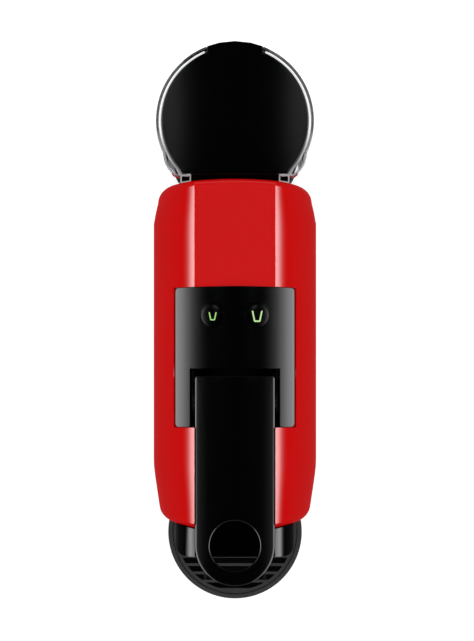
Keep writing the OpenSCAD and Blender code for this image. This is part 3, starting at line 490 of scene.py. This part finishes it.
def casing_patches():
    """Flank = section rows (foot to crease) by stations along Y. The section is a straight side of half
    width w(Y), then an ellipse about (5, 150) up to the crease. Each end is turned with a radius that
    shrinks from the sides to the top, then closed by rows whose Y is the end's own surface Y(x, z)."""
    side_x, side_top, top, crease, middle_x = 47.5, 150, 202.5, 23.3, 5
    round_x = side_x - middle_x
    seat_x, seat_back, seat_front, seat_bow, channel_floor = 34.7, 23.2, -58.2, 0.9, 186.6
    side_z = np.array([24, 36, 50, 64, 76, 85.6, 90, 94, 98, 101, 104, 107, 110, 113, 116, 119, 122, 125,
                       128.2, 133, 139, 145, side_top])
    turn = np.radians([90, 85, 80, 75, 70, 65, 60, 55, 50, 46, 42, 38.6, 35, 31, 27, 23, 19, 15.58])
    under = rounded_path([(-82, 20), (-82, 100, 24), (-115.5, 120, 10), (-117.5, 210)])

    def half_width(y):
        """Narrower by 0.24 d^2/(d + 2.5) behind Y 59.5 and by 0.155 d^2/(d + 4) before Y -79.5."""
        behind, before = np.maximum(y - 59.5, 0), np.maximum(-79.5 - y, 0)
        return side_x - 0.24 * behind ** 2 / (behind + 2.5) - 0.155 * before ** 2 / (before + 4)

    def front(x, z):
        """Y of the front end: the under path, bowed back by x^2/380 and less below Z 130."""
        return np.interp(z, under[:, 1], under[:, 0]) + x * x / 380 * (0.3 + 0.7 * ease((z - 86) / 44))

    def back(x, z):
        """Y of the back end: 84.9 at the top, leaning in by 2.4 towards the foot, less x^2/500."""
        return 84.9 - 2.4 * (203 - z) / 181 - x * x / 500

    def section(w):
        """x, z and outward normal of the section's points for half widths w (one per row)."""
        straight = len(side_z)
        low = np.arcsin((crease - middle_x) / round_x)
        phi = low + (turn[1:] - turn[-1]) * (math.pi / 2 - low) / (math.pi / 2 - turn[-1])
        x = np.concatenate([np.full(straight, side_x), middle_x + round_x * np.sin(phi)])
        z = np.concatenate([side_z, side_top + (top - side_top) * np.cos(phi) / np.cos(low)])
        x = x - (side_x - w) * np.clip((x - crease) / (side_x - crease), 0, 1) ** 1.6
        nx = np.concatenate([np.ones(straight), np.sin(phi) / round_x])
        nz = np.concatenate([np.zeros(straight), np.cos(phi) / 58.2])
        length = np.hypot(nx, nz)
        nx, nz = nx / length, nz / length
        nx[-1], nz[-1] = 0, 1
        return x, z, nx, nz

    def end_turn(y0, r, sign, end):
        """Columns round the end's edge, r(1 - cos t) inwards and r(1 - sin t) short of the end's surface."""
        sx, sz, nx, nz = section(half_width(y0))
        out = [np.stack([sx, y0, sz], -1)]
        for t in np.linspace(0, math.pi / 2, 9)[1:]:
            px, pz = sx - r * (1 - math.cos(t)) * nx, sz - r * (1 - math.cos(t)) * nz
            out.append(np.stack([px, end(px, pz) - sign * r * (1 - math.sin(t)), pz], -1))
        return out

    x, z = section(side_x)[:2]
    up = np.concatenate([np.zeros(len(side_z)), (math.pi / 2 - turn[1:]) / (math.pi / 2 - turn[-1])])
    r_back = 8 - 4.5 * ease(up)
    r_front = (6.5 - 3.5 * ease(up)) * (1 - 0.35 * (1 - ease((z - 96) / 34)))
    y_back = back(x - 3, z) - r_back
    y_front = front(x - 4, z) + r_front
    y_front = front(section(half_width(y_front))[0] - 4, z) + r_front
    bow = seat_bow * np.clip(x / seat_x, 0, 1) ** 2
    stations = [seat_back + f * (y_back - seat_back) - (1 - f) * bow for f in np.linspace(1, 0, 9)[1:-1]]
    stations.append(seat_back - bow)
    stations += [y + 0 * bow for y in (16, 6.5, -3, -14, -24.1, -34, -46, seat_front)]
    stations += [seat_front + f * (y_front - seat_front) for f in np.linspace(0, 1, 11)[1:-1]]
    flank = [np.stack([section(half_width(y))[0], y, section(half_width(y))[1]], -1) for y in stations]
    rear = end_turn(y_back, r_back, 1, back)[::-1]
    grid = np.array(rear + flank + end_turn(y_front, r_front, -1, front))
    seat_start, seat_end = len(rear) + 7, len(rear) + 15
    columns = np.arange(len(grid) - 1)
    in_seat = (columns >= seat_start) & (columns < seat_end)
    patches = [(grid, ~(in_seat[:, None] & (grid[seat_start][1:, 0] < seat_x + 0.25)))]

    # flat spine between the creases, behind the panel
    across = np.linspace(1, 0, 7)
    ridge = grid[:, -1]
    spine = np.stack([ridge[:, None, 0] * across, np.repeat(ridge[:, None, 1], 7, 1),
                      np.repeat(ridge[:, None, 2], 7, 1)], -1)
    inwards = ridge[:, None, 0] ** 2 - spine[..., 0] ** 2
    at_end = np.arange(len(grid))[:, None] < len(rear)
    spine[..., 1] += np.where(at_end, inwards / 500, inwards * seat_bow / seat_x ** 2)
    patches.append((spine[:seat_start + 1], None))

    # walls of the lever's channel
    wall = ridge[seat_end:, None, :] * np.ones((1, 4, 1))
    wall[..., 2] += (channel_floor - wall[..., 2]) * np.linspace(0, 1, 4)
    patches.append((wall, None))

    # back and front ends, the front one open for the channel, the head, the gutter and the bay below
    for edge, face in ((grid[0], back), (grid[-1], front)):
        xs = np.concatenate([crease * across[::-1] * np.ones((len(edge), 1)),
                             crease + (edge[:, None, 0] - crease) * np.linspace(0, 1, 7)[1:]], 1)
        zs = np.repeat(edge[:, None, 2], xs.shape[1], 1)
        keep = None
        if face is front:
            mx, mz = (xs[:-1, :-1] + xs[1:, 1:]) / 2, (zs[:-1, :-1] + zs[1:, 1:]) / 2
            channel = (mx < crease) & (mz > 184)
            mouth = (mx < 31) & (mz > 128.2) & (mz < 184.4)
            gutter = (mx < 13) & (mz > 122) & (mz < 130)
            bay = (mx < 36.9) & (mz < 85.6)
            keep = ~(channel | mouth | gutter | bay)
        patches.append((np.stack([xs, face(xs, zs), zs], -1), keep))
    return mirrored(patches)


casing_red = plastic("gloss_red", (0.585, 0.0030, 0.0032), 0.14, flow=0.03, cloud=0.03, bump=0.01,
                     specular=0.0, polish_ior=1.68)
casing = surface("casing_shell", casing_patches(), casing_red, wall=2.4, sharp=22)
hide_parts("casing")
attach(casing, "chassis")

# ---------------------------------------------------------------- head cover and spout
# Gloss black nose moulding that closes the casing's front over the cup, with the lever's channel running
# through its top. The spout is pushed up through its floor and drips the coffee into the cup.
gloss_black = plastic("gloss_black", (0.0005, 0.0006, 0.0007), 0.16, flow=0.03, cloud=0.1, bump=0.008,
                      specular=0.0, polish_ior=1.47)
eased("head_cover", gloss_black, edge=0.5)
eased("coffee_spout", satin_black, edge=0.4)

# ---------------------------------------------------------------- control panel, buttons and their lights
# Arched gloss black cap on the top frame, notched for the lever. Two round buttons press down on switches
# below it; a cup-shaped sign in each shines green through the black, small for a short drink and large for
# a long one.
arch_r, arch_z = 65.0, 139.0
button_x, button_y, hole_r, button_r, rim_r = 12.8, 6.5, 7.35, 7.0, 0.5
panel_x, panel_back, panel_front, notch_x, notch_y = 34.35, 23.0, -57.9, 25.9, -24.2


def arch(x, drop=0.0):
    """Height of the panel's arch: a circle of radius 65 about the line z = 139, drop below it."""
    return arch_z + np.sqrt((arch_r - drop) ** 2 - x * x)


def bowed(x, y):
    """Y after the rear edge is bowed back in the middle: y - 0.9 (x/34)^2, fading out away from the edge."""
    return y - 0.9 * (x / panel_x) ** 2 * ease((y - 16) / 7)


def corner_turned(x, y, cx, cy, r):
    """The corner of a grid that ends at (cx, cy) turned to radius r: the square of side r there is mapped
    onto a quarter disc by u sqrt(1 - v^2/2), v sqrt(1 - u^2/2)."""
    sx, sy = np.sign(cx), np.sign(cy)
    u, v = (x - (cx - sx * r)) * sx / r, (y - (cy - sy * r)) * sy / r
    inside = (u > 0) & (v > 0)
    u, v = np.clip(u, 0, 1), np.clip(v, 0, 1)
    return (np.where(inside, cx - sx * r + sx * r * u * np.sqrt(1 - v * v / 2), x),
            np.where(inside, cy - sy * r + sy * r * v * np.sqrt(1 - u * u / 2), y))


def spaced(*stretches):
    """Grid lines from stretches (start, end, count), each shared one kept once."""
    return np.unique(np.round(np.concatenate([np.linspace(*s) for s in stretches]), 6))


def panel_patches():
    """Grid over x and y with the notch and two squares left out; each square is filled by a ring from its
    rim to the button's hole."""
    cells, half, corner = 12, 9.5, 2
    right = spaced((panel_x, panel_x - corner, 5), (panel_x - corner, notch_x, 5),
                   (notch_x, button_x + half, 4), (button_x - half, button_x + half, cells + 1),
                   (button_x - half, half - button_x, 5))
    xs = np.unique(np.round(np.concatenate([-right, right]), 6))
    ys = spaced((panel_front, panel_front + corner, 5), (panel_front + corner, notch_y, 12),
                (notch_y, -3, 8), (button_y - half, button_y + half, cells + 1), (16, 21, 4),
                (21, panel_back, 5))
    x, y = np.meshgrid(xs, ys)
    mx, my = (x[:-1, :-1] + x[1:, 1:]) / 2, (y[:-1, :-1] + y[1:, 1:]) / 2
    in_notch = (np.abs(mx) < notch_x) & (my < notch_y)
    at_button = (np.abs(np.abs(mx) - button_x) < half) & (np.abs(my - button_y) < half)
    for side in (-1, 1):
        x, y = corner_turned(x, y, side * panel_x, panel_back, corner)
        x, y = corner_turned(x, y, side * panel_x, panel_front, corner)
    patches = [(np.stack([x, bowed(x, y), arch(x)], -1), ~in_notch & ~at_button)]
    t = np.linspace(-half, half, cells + 1)
    e = np.full(cells + 1, half)
    rim = np.concatenate([np.stack(p, -1)[:-1] for p in ((t, -e), (e, t), (-t, e), (-e, -t))])
    rim = np.concatenate([rim, rim[:1]])
    hole = rim / np.linalg.norm(rim, axis=1)[:, None] * hole_r
    ring = hole + (rim - hole) * np.linspace(0, 1, 4)[:, None, None]
    for side in (-1, 1):
        rx, ry = ring[..., 0] + side * button_x, ring[..., 1] + button_y
        patches.append((np.stack([rx, bowed(rx, ry), arch(rx)], -1), None))
    return patches


panel = surface("control_panel_cap", panel_patches(), gloss_black, wall=2.8, edge=0.4, steps=3, sharp=28)
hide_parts("control_panel")
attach(panel, "chassis")


def button_height(side, x, y):
    """Height of a button's top: the panel's arch, 0.45 lower, falling 0.3 more at the rim by the fourth
    power of the distance from the middle."""
    rho = np.hypot(x - side * button_x, y - button_y)
    return arch(x, 0.45) - 0.3 * (rho / button_r) ** 4


def button_patches(side):
    """Top disc in rings, its rounded rim of 0.5, and its side down to the frame."""
    t = np.linspace(0, 2 * math.pi, 65)
    a = np.linspace(0, math.pi / 2, 5)[1:]
    flat_r = button_r - rim_r
    rho = np.concatenate([np.linspace(0, flat_r, 9), flat_r + rim_r * np.sin(a)])[:, None]
    x, y = side * button_x + rho * np.cos(t), button_y + rho * np.sin(t)
    z = button_height(side, x, y)
    z[9:] -= rim_r * (1 - np.cos(a))[:, None]
    top = np.stack([x, y, z], -1)
    foot = top[-1:].copy()
    foot[..., 2] = 196.4
    return [(np.concatenate([top, foot]), None)]


def glowing(name, colour):
    """Green light behind thin black plastic, with a faint unevenness of the light guide."""
    m = plastic(name, colour, 0.3, cloud=0.05, specular=0.2)
    t = m.node_tree
    guide = wired(t, "TexNoise", {"Vector": in_place(t), "Scale": 500}).outputs["Fac"]
    shader = t.nodes["Principled BSDF"]
    feed(t, shader, {"Emission Color": scaled(t, colour, mapped(t, guide, 0, 1, 0.8, 1.1)),
                     "Emission Strength": 1.0, "Base Color": (0.01, 0.03, 0.01, 1)})
    return m


def cup_sign(side, top, foot, height, width):
    """Open-topped cup drawn as one rounded line of the given width: a lens-shaped section carried along the
    path, narrowing at both ends by a circle."""
    path = rounded_path([(-top, height / 2), (-foot, -height / 2, 0.5), (foot, -height / 2, 0.5),
                         (top, height / 2)])
    length = np.concatenate([[0], np.cumsum(np.linalg.norm(np.diff(path, axis=0), axis=1))])
    tip = np.linspace(0, width / 2, 6)
    s = np.unique(np.concatenate([length, tip, length[-1] - tip]))
    path = np.stack([np.interp(s, length, path[:, k]) for k in (0, 1)], -1)
    along = np.gradient(path, s, axis=0)
    along /= np.linalg.norm(along, axis=1)[:, None]
    past_tip = np.clip(1 - np.minimum(s, s[-1] - s) / (width / 2), 0, 1)
    fullness = np.sqrt(1 - past_tip ** 2)[:, None]
    q = np.linspace(-1, 1, 7)
    x = side * button_x + path[:, :1] - along[:, 1:] * width / 2 * fullness * q
    y = button_y - 0.5 + path[:, 1:] + along[:, :1] * width / 2 * fullness * q
    base = button_height(side, x, y)
    upper = np.stack([x, y, base + 0.1 * np.sqrt(1 - q ** 2) * fullness], -1)
    return [(upper, None), (np.stack([x, y, base - 0.15], -1)[:, ::-1], None)]


for side, drink, sign, green in ((-1, "espresso", (2.0, 1.05, 4.4, 0.72), (0.18, 0.35, 0.10)),
                                 (1, "lungo", (2.75, 1.45, 6.0, 0.9), (0.26, 0.40, 0.18))):
    knob = surface(drink + "_button_cap", button_patches(side), gloss_black, sharp=40)
    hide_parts(drink + "_button")
    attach(knob, drink + "_button")
    glow = surface(drink + "_sign", cup_sign(side, *sign), glowing(f"green_light_{drink}", green), sharp=80,
                   merge=1e-7)
    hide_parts(drink + "_light")
    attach(glow, drink + "_button")

# ---------------------------------------------------------------- lever
# Gloss black handle with a finger ring, moulded round a steel shaft. Its crowned cap is clipped onto the
# lever's bar; two cranks under the bar push the carriage.
ring_y, lever_rear, lever_half, ring_hole, corner_r = -126.1, -28.7, 23.0, 14.45, 1.4


def lever_outline(t):
    """Half of the cap's plan, t inside its edge: front of the ring, side, corner, rear edge."""
    half, rear_y, r = lever_half - t, lever_rear - t, max(corner_r - t, 0.2)
    ring = on_circle(half, np.radians(np.linspace(-90, 0, 31)), (0, ring_y))
    side = np.stack([np.full(25, half), np.linspace(ring_y, lever_rear - corner_r, 26)[1:]], -1)
    turn = on_circle(r, np.radians(np.linspace(0, 90, 7)[1:]), (half - r, rear_y - r))
    rear = np.stack([turn[-1, 0] * np.linspace(1, 0, 9)[1:], np.full(8, rear_y)], -1)
    return np.concatenate([ring, side, turn, rear])


def crown(x):
    """Height of the cap: 203.9 in the middle, on a circle of radius 130."""
    return 73.9 + np.sqrt(130.0 ** 2 - x * x)


def lever_patches():
    """Rows (plan, depth under the crown) from the finger hole to the outline, each point on the ray between
    them: the hole's wall and eased edge, the top, the outer eased edge and wall, and back along a floor."""
    edge = lever_outline(0) - (0, ring_y)
    ray = edge / np.linalg.norm(edge, axis=1)[:, None]
    hole = {t: ray * (ring_hole + t) + (0, ring_y) for t in (0, 0.05, 0.3, 0.55)}
    rows = [(hole[t], d) for t, d in ((0, 2.2), (0, 0.62), (0.05, 0.45), (0.3, 0.2))]
    rows += [(hole[0.55] * (1 - u) + lever_outline(1.0) * u, 0.0) for u in np.linspace(0, 1, 14)]
    rows += [(lever_outline(t), d) for t, d in (
        (0.7, 0.06), (0.4, 0.13), (0.16, 0.2), (0.04, 0.34), (0, 0.6), (0, 2.2))]
    rows.append(rows[0])
    return mirrored([(np.array([np.concatenate([p, crown(p[:, :1]) - d], -1) for p, d in rows]), None)])


def leaning_normals(o, lean):
    """Leans the normals of the upward faces outwards by lean per mm of x, as on a top of stronger crown."""
    mesh = o.data
    flat, corner = np.empty(len(mesh.loops) * 3), np.empty(len(mesh.loops), int)
    mesh.corner_normals.foreach_get("vector", flat)
    mesh.loops.foreach_get("vertex_index", corner)
    normal = flat.reshape(-1, 3)
    normal[:, 0] += np.clip(normal[:, 2], 0, 1) * points_of(o)[corner, 0] / MM * lean
    mesh.normals_split_custom_set((normal / np.linalg.norm(normal, axis=1)[:, None]).tolist())


cap = surface("lever_cap", lever_patches(), gloss_black, sharp=40)
leaning_normals(cap, 0.0078)
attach(cap, "lever")
# The bar stays inside the cap that covers it.
bar = eased("lever", gloss_black, edge=0.7, steps=3)
bar_half, under_crown = 22.2, 1.2
at = points_of(bar)
at[:, 0] = np.clip(at[:, 0], -bar_half * MM, bar_half * MM)
at[:, 2] = np.minimum(at[:, 2], (crown(at[:, 0] / MM) - under_crown) * MM)
move_points(bar, at)
dressed(steel, "crank_pins")

# ---------------------------------------------------------------- water tank, valve and lid
# Clear blow-moulded tank, round behind and narrowing towards the casing, open at the top; its thick rim
# is painted dark as shade, and its walls smoke grey where seen at a glance. A frosted lip inside the rim,
# with a painted glow as light, carries the gloss black lid, which swings on a steel pin in front.
tank_y, tank_r, tank_front, tank_slant, tank_corner = 119.0, 46.0, 86.4, math.radians(23.75), 3.0
lid_r, hinge_low, hinge_top = 42.7, 168.0, 176.6


def clear_with_painted_shade():
    """Clear plastic: light passes it. The rim, above Z 182, is painted near black as shade, darkest round
    the back (Y), and a wall seen along its face is painted smoke grey as shade."""
    m, t, shader = new_finish("clear")
    split = wired(t, "SeparateXYZ", {0: in_place(t)}).outputs
    # painted shade: the rim above Z 182 mm turns near black, most towards the back
    shade = maths(t, "MULTIPLY", mapped(t, split["Z"], 0.1819, 0.1824),
                  mapped(t, split["Y"], 0.098, 0.114, 0.55, 0.98))
    skin = wired(t, "Group", {"Base": (0.85, 0.86, 0.875, 1), "Gloss": 0.03, "Flow": 0.03, "Cloud": 0.03},
                 node_tree=SKIN).outputs
    tone = blended(t, shade, skin["Colour"], (0.004, 0.004, 0.0045, 1))
    # painted shade: the wall turns smoke grey where it is seen at a glance
    edge = mapped(t, wired(t, "LayerWeight").outputs["Facing"], 0.3, 0.95, 0.0, 0.85)
    feed(t, shader, {"Base Color": blended(t, edge, tone, (0.16, 0.17, 0.185, 1)),
                     "Roughness": skin["Roughness"], "Transmission Weight": 1.0, "IOR": 1.3,
                     "Specular IOR Level": 0.25})
    return m


def with_height(plan, z):
    """Points of a plan path, at one height or at a height for each."""
    return np.concatenate([plan, np.zeros((len(plan), 1)) + np.reshape(z, (-1, 1))], -1)


def tank_outline(t):
    """Half of the tank's plan, t inside its outer face: the round back, the slightly bulged side,
    the corner and the front, with the same number of points for every t."""
    a = np.radians(np.concatenate([np.linspace(90, 69.0, 8), [68.8], np.linspace(66, -23.75, 60)]))
    back = on_circle(tank_r - t, a, (0, tank_y))
    corner_x = (tank_r - tank_corner - math.sin(tank_slant) * (tank_y - tank_front - tank_corner)) \
        / math.cos(tank_slant)
    turn = on_circle(max(tank_corner - t, 0.3), np.linspace(-tank_slant, -math.pi / 2, 9),
                     (corner_x, tank_front + tank_corner))
    f = np.linspace(0, 1, 10)[1:-1, None]
    bulge = 1.3 * np.sin(math.pi * f) * (math.cos(tank_slant), -math.sin(tank_slant))
    side = back[-1] + (turn[0] - back[-1]) * f + bulge
    front = turn[-1] * (np.linspace(1, 0, 8)[1:, None] * (1, 0) + (0, 1))
    return np.concatenate([back, side, turn, front])


def tank_rim():
    """Height of the rim along the outline: full, but cut down for the lid's tab behind and neck in front."""
    n = np.arange(len(tank_outline(0)))
    corner = len(n) - 16
    neck = np.interp(n, [corner, corner + 3, corner + 4, corner + 8], [183, 180.4, 177, 176.4])
    return np.where(n > corner, neck, np.where(n < 8, 176.6, 183.0))


def tank_patches():
    """Outline carried along the wall's section (depth, height): foot, outer face, rounded rim, inner face;
    then both floors. Deeper than 2.6 the outline is drawn in towards the middle instead."""
    rim, wall, outline_to, hole_share, hole_y = tank_rim(), 2.0, 2.6, 0.18, 113
    shoulder = rim - 0.9
    rows = [(t, np.minimum(z, shoulder)) for t, z in (
        (8, 20), (1.5, 20), (0.45, 20.45), (0, 21.5), (0, 60), (0, 120), (0, 170))]
    rows += [(wall / 2 * (1 - math.cos(a)), shoulder + 0.9 * math.sin(a))
             for a in np.linspace(0, math.pi, 7)]
    rows += [(t, np.full_like(rim, z)) for t, z in (
        (wall, 120), (wall, 60), (wall, 24.5), (2.4, 23.2), (3.6, 22.6), (8, 22.6))]
    side = np.array([with_height(tank_outline(min(t, outline_to)), z) for t, z in rows])
    drawn_in = np.array([max(t - outline_to, 0) / tank_r for t, _ in rows])[:, None, None]
    side[..., :2] -= (side[..., :2] - (0, tank_y)) * drawn_in
    f = np.linspace(1, hole_share, 6)[:, None]
    floors = [np.stack([row[:, 0] * f, hole_y + (row[:, 1] - hole_y) * f, row[:, 2] + 0 * f], -1)[:, ::-1]
              for row in (side[0], side[-1])]
    # the floors' holes are joined crosswise; the valve's flange covers most of it
    hole = np.array([floors[0][-1], floors[1][-1, ::-1]])
    return mirrored([(grid, None) for grid in (side, *floors, hole)])


tank = surface("water_tank_wall", tank_patches(), clear_with_painted_shade(), sharp=35)
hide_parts("water_tank")
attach(tank, "tank")


def frosted_painted_glow():
    """Frosted clear plastic with a painted glow standing in for light: its tone and glow rise along Y from
    102 to 114 mm.
    """
    m = plastic("clear_frosted_painted_glow", (0.86, 0.87, 0.88), 0.5, cloud=0.02, specular=0.3)
    t = m.node_tree
    along = mapped(t, wired(t, "SeparateXYZ", {0: in_place(t)}).outputs["Y"], 0.102, 0.114)
    # painted light: base colour and glow are darker in front and paler behind
    painted_glow_tones = {socket: blended(t, along, (*[dark] * 3, 1), (*[pale] * 3, 1))
             for socket, dark, pale in (("Base Color", 0.45, 0.88), ("Emission Color", 0.3, 1.0))}
    feed(t, t.nodes["Principled BSDF"], {**painted_glow_tones, "Emission Strength": 0.35})
    return m


def band(inner, outer, top, foot):
    """Closed thin wall between two paths of the same length, foot to top, with its upper edges eased 0.2;
    top may be a height for each point."""
    rows = [(outer, foot), (outer, top - 0.2), (outer * 0.8 + inner * 0.2, top),
            (outer * 0.2 + inner * 0.8, top), (inner, top - 0.2), (inner, foot), (outer, foot)]
    return np.array([with_height(path, z) for path, z in rows])


def lip_path(t):
    """The lid's edge moved t outwards: the ring, then the shoulder in front."""
    ring = on_circle(lid_r + t, np.radians(np.linspace(66.2, -38.6, 66)), (0, tank_y))
    return np.concatenate([ring, [[31.7 + 0.7 * t, 88.8 - 0.7 * t], [30.7 + 0.6 * t, 88.2 - 0.8 * t],
                                  [28.0, 88.1 - t], [25.8 + t, 88.1 - t]]])


def lip_patches():
    """The lip's wall, lower in front, and the shelf under the lid, each closed at both ends by a fan."""
    top = np.interp(lip_path(1.25)[:, 1], [91.5, 96.5], [177.6, 181.9])
    wall = band(lip_path(0.25), lip_path(1.25), top, 174.0)
    shelf = band(lip_path(-1.2), lip_path(0.6), 175.4, 173.8)
    ends = [w[:6, k] for w in (wall, shelf) for k in (0, -1)]
    fans = [np.array([e, e * 0 + e.mean(0)]) for e in ends]
    return mirrored([(grid, None) for grid in (wall, shelf, *fans)])


frosted = frosted_painted_glow()
lip = surface("tank_lid_lip", lip_patches(), frosted, sharp=50)
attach(lip, "tank")


def upright(path, low, high):
    """Closed upright prism on a closed path, its top and bottom edges eased by 0.3."""
    middle = path.mean(0)
    reach = np.linalg.norm(path - middle, axis=1)[:, None]
    narrow = middle + (path - middle) * (1 - np.minimum(0.3 / reach, 0.5))
    point = middle + 0 * path
    rows = [(point, low), (narrow, low), (path, low + 0.3), (path, high - 0.3), (narrow, high),
            (point, high)]
    return np.array([with_height(p, z) for p, z in rows])


# Black hinge bar along the tank's front rim, between two clear lugs that stand on the rim's corners.
x = np.linspace(-25.2, 25.2, 25)
bar_path = np.concatenate([np.stack([x, 85.35 - x * x / 500], -1), [[25.2, 88.9], [-25.2, 88.9]]])
bar_path = np.concatenate([bar_path, bar_path[:1]])
hinge_bar = surface("hinge_bar", [(upright(bar_path, hinge_low, hinge_top), None)], gloss_black, sharp=35)
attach(hinge_bar, "tank")
lug_outer = rounded_path([(25.5, 86.0), (25.5, 84.0, 0.5), (31.6, 82.9, 0.5), (31.6, 87.9, 1.2),
                          (25.5, 87.9, 0.5), (25.5, 86.0)])
lug_middle = np.array([28.5, 85.7])
lug_inner = lug_middle + (lug_outer - lug_middle) * (0.74, 0.66)
# The lugs' frosted band carries the same painted glow.
lug_parts = (("hinge_lug", band(lug_inner, lug_outer, 177.8, hinge_low), frosted),
             ("hinge_lug_core", upright(lug_inner, hinge_low, hinge_top), gloss_black))
for side, end in ((-1, "left"), (1, "right")):
    for name, grid, material in lug_parts:
        o = surface(f"{name}_{end}", [(grid * (side, 1, 1), None)], material, sharp=40)
        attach(o, "tank")


def lid_edge():
    """Half of the lid's plan: the tab behind, the circle, the shoulder and the neck in front."""
    tab = rounded_path([(0, 165.0), (9, 164.1, 0), (16.2, 162.0, 1), (16.2, 158.6)])
    ring = on_circle(lid_r, np.radians(np.linspace(67.4, -39.6, 70)), (0, tank_y))
    neck = rounded_path([ring[-1], (30.6, 88.2, 0.9), (25.6, 88.2)])
    return np.concatenate([tab, ring, neck[1:], [[25.6, 87.4], [12.8, 87.4], [0, 87.4]]])


def lid_arch(p, drop=0.0):
    """Points of a plan path on an arch of radius 300 over the middle plane, 186 high, less drop."""
    return with_height(p, 186 - 300 + np.sqrt(300 ** 2 - p[:, 0] ** 2) - drop)


def lid_patches():
    """Rings from the middle to the edge on the arch, then a rounded edge of 0.8 and a skirt whose foot is
    176, or 183.4 at the neck."""
    edge, middle, edge_r = lid_edge(), (0, 120.0), 0.8
    away = edge - middle
    reach = np.linalg.norm(away, axis=1)[:, None]
    rows = [with_height(edge * 0 + middle, 186)]
    rows += [lid_arch(middle + away * f) for f in (0.02, 0.15, 0.3, 0.45, 0.6, 0.75, 0.88, 0.95)]
    rows += [lid_arch(middle + away * (1 - edge_r * (1 - math.sin(a)) / reach), edge_r * (1 - math.cos(a)))
             for a in np.linspace(0, math.pi / 2, 6)]
    rim = rows[-1][:, 2]
    foot = np.minimum(np.where(edge[:, 1] < 94, 183.4, 176.0), rim - 0.2)
    rows += [with_height(edge, rim * (1 - f) + foot * f) for f in (0.4, 1.0)]
    return mirrored([(np.array(rows), None)])


lid = surface("tank_lid_cap", lid_patches(), gloss_black, wall=1.8, sharp=35)
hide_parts("tank_lid")
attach(lid, "tank_lid")


def knuckle_patches():
    """Roll along the hinge pin: half round below, flat against the lid above, with flat ends."""
    half, pin_y, pin_z, r = 21.4, 91.2, 181.4, 2.4
    roll = on_circle(r, np.linspace(math.pi, 2 * math.pi, 17), (pin_y, pin_z))
    roll = np.concatenate([roll, [[pin_y + r, 184.2], [pin_y - r, 184.2]], roll[:1]])
    middle = np.array([pin_y, 182.5])
    ends = ((-half, 0), (-half, 1), (half, 1), (half, 0))
    return [(np.array([np.insert(middle + (roll - middle) * share, 0, x, 1) for x, share in ends]), None)]


knuckle = surface("lid_knuckle", knuckle_patches(), gloss_black, edge=0.3, sharp=35)
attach(knuckle, "tank_lid")
dressed(steel, "lid_pin")
dressed(satin_black, "tank_valve")
dressed(seal, "valve_seal")
dressed(ivory_plastic, "valve_plunger")

# ---------------------------------------------------------------- drip tray, grid and capsule container
# Satin black tray that slides in from the front, with a round bowl under a slatted grid and a pan for the
# container of used capsules, whose front closes the casing's waist.
def satin_painted_top_light():
    """Satin black whose top, where cups stand, is painted paler as light falling on it, from Z 47.9 to 48.6
    mm.
    """
    m = plastic("satin_black_painted_top_light", **satin)
    t = m.node_tree
    shader = t.nodes["Principled BSDF"]
    # painted light: above Z 47.9 mm the colour turns paler, as the lit top
    top = mapped(t, wired(t, "SeparateXYZ", {0: in_place(t)}).outputs["Z"], 0.0479, 0.0486)
    plain = shader.inputs["Base Color"].links[0].from_socket
    feed(t, shader, {"Base Color": blended(t, top, plain, (0.044, 0.044, 0.045, 1))})
    return m


satin_lit_top = satin_painted_top_light()
for node, edge in (("drip_tray", 0.6), ("drip_grid", 0.3)):
    eased(node, satin_lit_top, edge=edge)
eased("capsule_container", gloss_black, edge=0.6)
